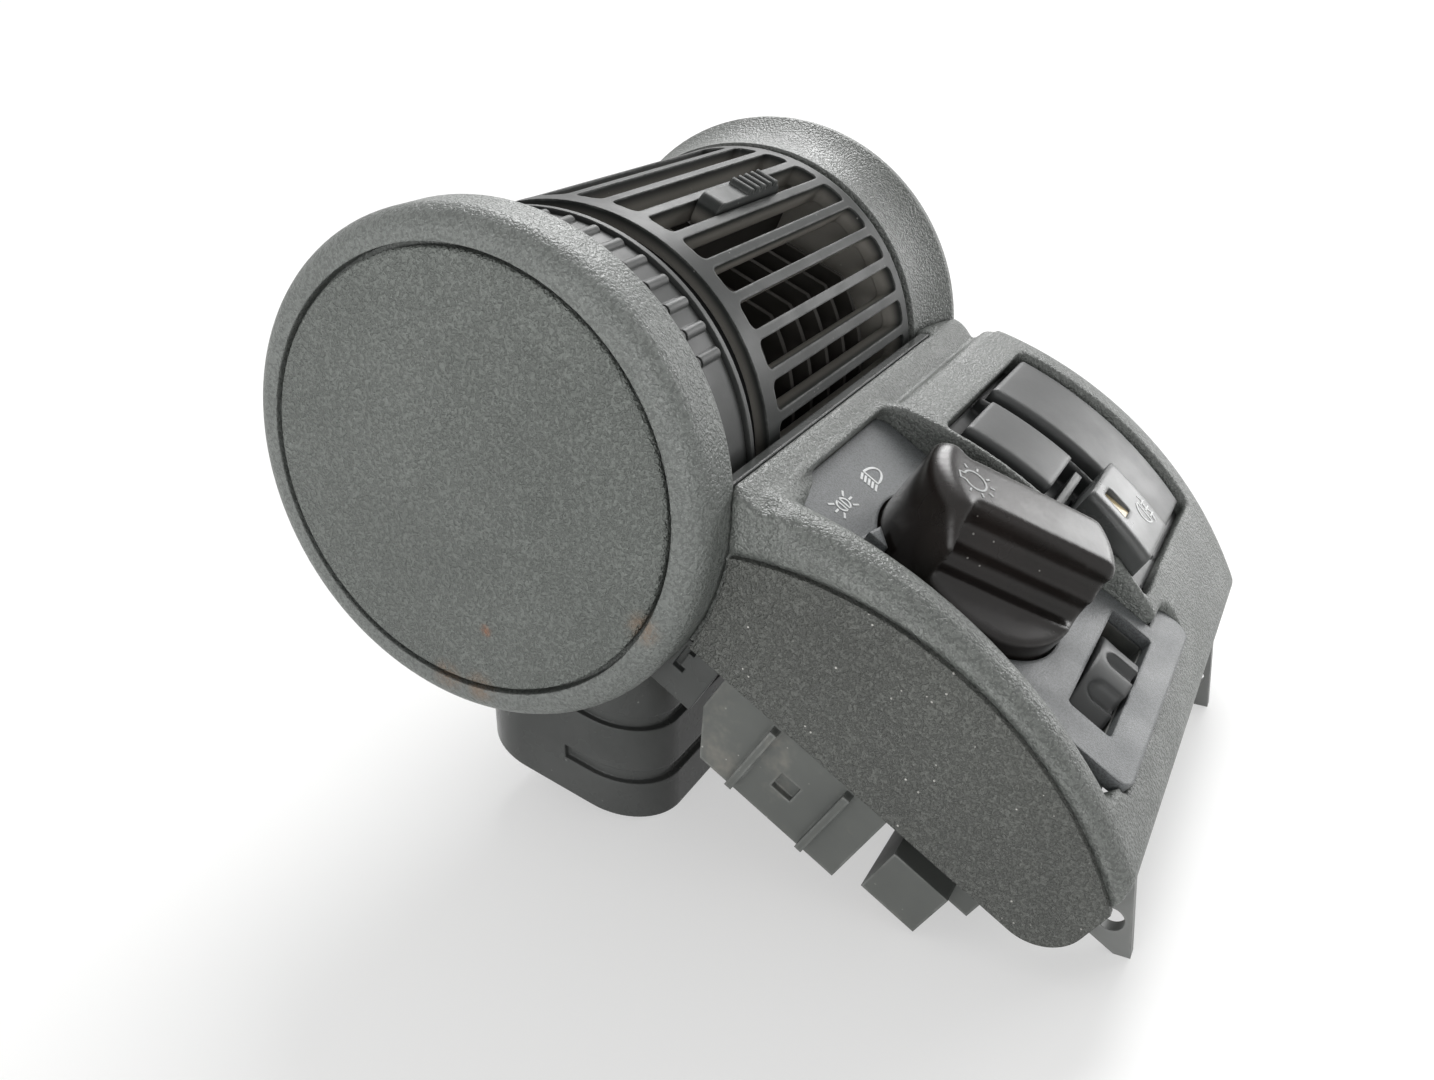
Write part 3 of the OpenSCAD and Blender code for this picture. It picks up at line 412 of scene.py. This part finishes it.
for number in range(1, VANES + 1):
    LOOKS["vane_%d" % number] = "vane"
for node, look in LOOKS.items():
    materials = NODES[node].data.materials
    materials.clear()
    materials.append(MATS[look])

# Places on the panel
CROWN_V = 70.35
CROWN_AXIS = -57.0
FASCIA_W = 24.6
KNOB_X = 41.2
KNOB_V = 71.35
KNOB_TOP = 41.4
KNOB_TURN = math.radians(30)
FOG_R = 94.2


def on_fascia(x, v, lift):
    return pod(x, v, FASCIA_W + lift)


def on_knob(x, v, lift):
    """A place on the knob's top, given along and down its own turned bar."""
    c, s = math.cos(KNOB_TURN), math.sin(KNOB_TURN)
    return pod(KNOB_X + c * x + s * v, KNOB_V - s * x + c * v, KNOB_TOP + lift)


def on_fog(x, v, lift):
    return pod(x, v, CROWN_AXIS + math.sqrt(FOG_R ** 2 - (v - CROWN_V) ** 2) + lift)


# Moulded pieces with soft edges
WELD = 1e-6
BAR_STEPS = 14
ROLL = 0.5


def bar(bm, ends):
    """A round bar between two places of the panel, each given as x, v, w and radius."""
    first, last = ends
    for i in range(BAR_STEPS + 1):
        t = i / BAR_STEPS
        x, v, w, radius = [a + (b - a) * t for a, b in zip(first, last)]
        here = Matrix.Translation(pod(x, v, w))
        bmesh.ops.create_icosphere(bm, subdivisions=3, radius=radius / MM_PER_M, matrix=here)


def slope(bm, place, at, facing):
    """Cuts off what lies beyond a sloping plane."""
    here = place(*at)
    there = place(*[a + f for a, f in zip(at, facing)])
    everything = bm.verts[:] + bm.edges[:] + bm.faces[:]
    bmesh.ops.bisect_plane(bm, geom=everything, plane_co=here, plane_no=(there - here).normalized(),
                           clear_outer=True)
    bmesh.ops.holes_fill(bm, edges=bm.edges[:], sides=0)


def roll_edges(o, voxel, passes, keep):
    """Remakes an object's mesh on a grid, rolls its edges over and thins it."""
    grid = o.modifiers.new("grid", "REMESH")
    grid.mode = "VOXEL"
    grid.voxel_size = voxel / MM_PER_M
    roll = o.modifiers.new("roll", "SMOOTH")
    roll.factor = ROLL
    roll.iterations = passes
    thin = o.modifiers.new("thin", "DECIMATE")
    thin.ratio = keep
    done = bpy.data.meshes.new_from_object(o.evaluated_get(bpy.context.evaluated_depsgraph_get()))
    o.modifiers.clear()
    o.data = done
    done.shade_smooth()


def soften(node, body, voxel, passes, keep, bars=(), slopes=(), place=None):
    """A copy of a rigid node whose edges are rolled over as in the mould, with bars blended in."""
    bm = bmesh.new()
    bm.from_mesh(NODES[node].data)
    bmesh.ops.remove_doubles(bm, verts=bm.verts[:], dist=WELD)
    for at, facing in slopes:
        slope(bm, place, at, facing)
    for ends in bars:
        bar(bm, ends)
    name = node + "_moulding"
    o = add(name, filled_mesh(name, bm))
    roll_edges(o, voxel, passes, keep)
    o.data.materials.clear()
    o.data.materials.append(MATS[LOOKS[node]])
    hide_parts(node)
    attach(o, body)


BEAD_END = (13.6, 45.5, 24.4, 4.9)
BEAD_BEND = (14.4, 41.5, 24.0, 4.2)
SADDLE_END = (17.5, 38.2, 23.6, 2.6)
SADDLE_FRONT = (30.0, 40.0, 22.4, 3.0)
CORNER = [
    (BEAD_END, BEAD_BEND),
    (BEAD_BEND, SADDLE_END),
    (SADDLE_END, SADDLE_FRONT),
    (BEAD_BEND, SADDLE_FRONT),
]
POINTER = [((s * 7.6, -12.5, 0.0), (s * 0.78, 0.0, 0.62)) for s in (-1, 1)]

soften("bezel", "pod", voxel=0.6, passes=13, keep=0.4, bars=CORNER)
soften("light_knob", "knob", voxel=0.4, passes=22, keep=0.5, slopes=POINTER, place=on_knob)
for node in ("short_blank", "long_blank"):
    soften(node, "pod", voxel=0.4, passes=6, keep=0.4)
soften("fog_button", "fog", voxel=0.25, passes=5, keep=0.3)

# Return spring, copied into a mesh of its own that rides the pod
coil = add("fog_spring_coil", NODES["fog_spring"].data.copy())
coil.data.name = "fog_spring_coil"
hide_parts("fog_spring")
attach(coil, "pod")
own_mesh(coil)

# Printed symbols, in millimetres on their surfaces
INK_HEIGHT = 0.1


def arc(cx, cv, rx, rv, start, end, steps=14):
    """Points of an elliptic arc, angles in degrees from +x towards +v."""
    angles = [math.radians(start + (end - start) * i / steps) for i in range(steps + 1)]
    return [(cx + rx * math.cos(a), cv + rv * math.sin(a)) for a in angles]


def ribbon(bm, line, width, place):
    """A thin raised ink line along a row of points."""
    section = ((1, 0.0), (1, INK_HEIGHT), (-1, INK_HEIGHT), (-1, 0.0))
    rails = []
    for i, (x, v) in enumerate(line):
        x0, v0 = line[max(i - 1, 0)]
        x1, v1 = line[min(i + 1, len(line) - 1)]
        length = math.hypot(x1 - x0, v1 - v0)
        nx = -(v1 - v0) / length * width / 2
        nv = (x1 - x0) / length * width / 2
        rails.append([bm.verts.new(place(x + side * nx, v + side * nv, h)) for side, h in section])
    for a, b in zip(rails, rails[1:]):
        for k in range(4):
            bm.faces.new((a[k], a[(k + 1) % 4], b[(k + 1) % 4], b[k]))
    bm.faces.new(rails[0])
    bm.faces.new(rails[-1][::-1])


def symbol(name, lines, width, place, body, mat):
    """A printed symbol of several lines, which rides on a body."""
    bm = bmesh.new()
    for line in lines:
        ribbon(bm, line, width, place)
    bmesh.ops.recalc_face_normals(bm, faces=bm.faces)
    o = add(name, filled_mesh(name, bm))
    o.data.materials.append(mat)
    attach(o, body)


def lamp_rays(cx, cv, r0, r1, angles):
    """Short lines that point away from a centre."""
    rays = []
    for a in angles:
        c, s = math.cos(math.radians(a)), math.sin(math.radians(a))
        rays.append([(cx + r0 * c, cv + r0 * s), (cx + r1 * c, cv + r1 * s)])
    return rays


def low_beam(cx, cv):
    """Lamp bowed to the right, with five slanted rays at its left."""
    half = 1.65
    bowl = arc(cx, cv, 4.0, half, -90, 90) + [(cx, cv - half)]
    rays = [[(cx - 0.6, v), (cx - 2.6, v + 0.65)] for v in (cv - 1.6 + 0.8 * i for i in range(5))]
    return [bowl] + rays


def side_lamps(cx, cv):
    """Two lamps back to back, each with three rays."""
    half = 1.15
    gap = 0.45
    rays = ((2.3, 0, 3.6, 0), (1.9, -1.1, 3.2, -1.8), (1.9, 1.1, 3.2, 1.8))
    bowl = arc(0, 0, 1.3, half, -90, 90, 10) + [(0, -half)]
    lines = []
    for s in (-1, 1):
        lines.append([(cx + s * (gap + x), cv + v) for x, v in bowl])
        for x0, v0, x1, v1 in rays:
            lines.append([(cx + s * x0, cv + v0), (cx + s * x1, cv + v1)])
    return lines


def rear_fog(cx, cv):
    """Lamp bowed to the left, with rays that cross a wavy line at its right."""
    half = 2.2
    pitch = 1.4
    bowl = arc(cx, cv, 2.4, half, 90, 270) + [(cx, cv + half)]
    rays = [[(cx + 0.8, v), (cx + 3.2, v)] for v in (cv - pitch, cv, cv + pitch)]
    wave = [(cx + 2.0 + 0.4 * math.sin(i * 0.7), cv - 2.8 + 0.35 * i) for i in range(17)]
    return [bowl] + rays + [wave]


def bulb(cx, cv):
    """Round lamp with rays all round and its foot towards the end of the bar."""
    half = 0.8
    ring = arc(cx, cv, 2.3, 2.1, -70, 250, 24)
    foot = [(cx + half, cv - 2.0), (cx + half, cv - 3.0), (cx - half, cv - 3.0), (cx - half, cv - 2.0)]
    return [ring, foot] + lamp_rays(cx, cv, 2.9, 3.8, (-25, 15, 55, 90, 125, 165, 205))


white_ink = ink("white_ink", (0.72, 0.73, 0.73), 0.5)
faint_ink = ink("faint_ink", (0.4, 0.41, 0.41), 0.45)
symbol("low_beam_mark", low_beam(44.2, 47.95), 0.45, on_fascia, "pod", white_ink)
symbol("side_lamp_mark", side_lamps(31.1, 48.1), 0.4, on_fascia, "pod", white_ink)
symbol("bulb_mark", bulb(-0.8, -11.4), 0.35, on_knob, "knob", faint_ink)
symbol("rear_fog_mark", rear_fog(84.5, 89.8), 0.34, on_fog, "fog", white_ink)

# Floor
FLOOR_HALF = 12
FLOOR_COLOR = (0.94, 0.94, 0.93)
FLOOR_ROUGHNESS = 0.4
FLOOR_GLOW = 0.5


def looked_at(tree):
    """1 for rays that show the stage: seen directly, mirrored or through something clear."""
    paths = tree.nodes.new("ShaderNodeLightPath").outputs
    result = paths["Is Camera Ray"]
    for kind in ("Is Glossy Ray", "Is Transmission Ray"):
        either = tree.nodes.new("ShaderNodeMath")
        either.operation = "MAXIMUM"
        tree.links.new(result, either.inputs[0])
        tree.links.new(paths[kind], either.inputs[1])
        result = either.outputs[0]
    return result


def table_top(name):
    """White table that glows a little where it is seen, and keeps its shadows."""
    g = Graph(name)
    tone = g.ramp(g.noise(3.0), low=0.3, high=0.7)
    g.surface("Base Color", g.mix(tone, shade(FLOOR_COLOR), shade(FLOOR_COLOR, 0.985)))
    g.surface("Roughness", FLOOR_ROUGHNESS)
    both = g.node("MixShader")
    g.link(g.times(looked_at(g.tree), FLOOR_GLOW), both.inputs["Fac"])
    g.link(g.bsdf.outputs[0], both.inputs[1])
    g.link(g.node("Emission").outputs[0], both.inputs[2])
    g.link(both.outputs[0], g.tree.nodes["Material Output"].inputs["Surface"])
    return g.mat


floor_grid = bmesh.new()
bmesh.ops.create_grid(floor_grid, x_segments=4, y_segments=4, size=FLOOR_HALF)
floor = add("floor", filled_mesh("floor", floor_grid))
floor.data.materials.append(table_top("floor_white"))

# Lights
SUN_STRENGTH = 2.6
SUN_SPREAD = math.radians(35)
SUN_WAY = Vector((-0.7, -0.2, -0.68))


def softbox(name, place, aim, size, power):
    """A rectangular lamp at a place, turned towards its aim."""
    lamp = bpy.data.lights.new(name, "AREA")
    lamp.shape = "RECTANGLE"
    lamp.size, lamp.size_y = size
    lamp.energy = power
    o = add(name, lamp)
    o.location = place
    o.rotation_euler = (Vector(aim) - Vector(place)).to_track_quat("-Z", "Y").to_euler()


sun = add("sky_light", bpy.data.lights.new("sky_light", "SUN"))
sun.data.energy = SUN_STRENGTH
sun.data.angle = SUN_SPREAD
sun.rotation_euler = SUN_WAY.to_track_quat("-Z", "Y").to_euler()
softbox("key_light", place=(0.98, -0.62, 0.38), aim=(0, 0, 0.05), size=(0.6, 0.5), power=5)
softbox("low_light", place=(-0.95, -0.12, 0.16), aim=(0, 0, 0.06), size=(0.9, 0.3), power=4.5)

# Room: bright behind the pod, dimmer on the viewer's side, white where it is seen itself
ROOM_TINT = (1.0, 1.0, 0.995, 1.0)
ROOM_BRIGHT_WAY = (0.5, 0.6, 0.62)
ROOM_DIM = 0.04
ROOM_BRIGHT = 0.75
ROOM_SEEN = 1.0

world = bpy.data.worlds.new("studio")
SCENE.world = world
world.use_nodes = True
tree = world.node_tree
shine = tree.nodes["Background"]
shine.inputs["Color"].default_value = ROOM_TINT
way = tree.nodes.new("ShaderNodeTexCoord").outputs["Generated"]
facing = tree.nodes.new("ShaderNodeVectorMath")
facing.operation = "DOT_PRODUCT"
tree.links.new(way, facing.inputs[0])
facing.inputs[1].default_value = ROOM_BRIGHT_WAY
room = tree.nodes.new("ShaderNodeMapRange")
tree.links.new(facing.outputs["Value"], room.inputs["Value"])
room.inputs["From Min"].default_value = -1.0
room.inputs["From Max"].default_value = 1.0
room.inputs["To Min"].default_value = ROOM_DIM
room.inputs["To Max"].default_value = ROOM_BRIGHT
strength = tree.nodes.new("ShaderNodeMix")
tree.links.new(looked_at(tree), strength.inputs["Factor"])
tree.links.new(room.outputs["Result"], strength.inputs[2])
strength.inputs[3].default_value = ROOM_SEEN
tree.links.new(strength.outputs[0], shine.inputs["Strength"])

SCENE.view_settings.view_transform = "Standard"
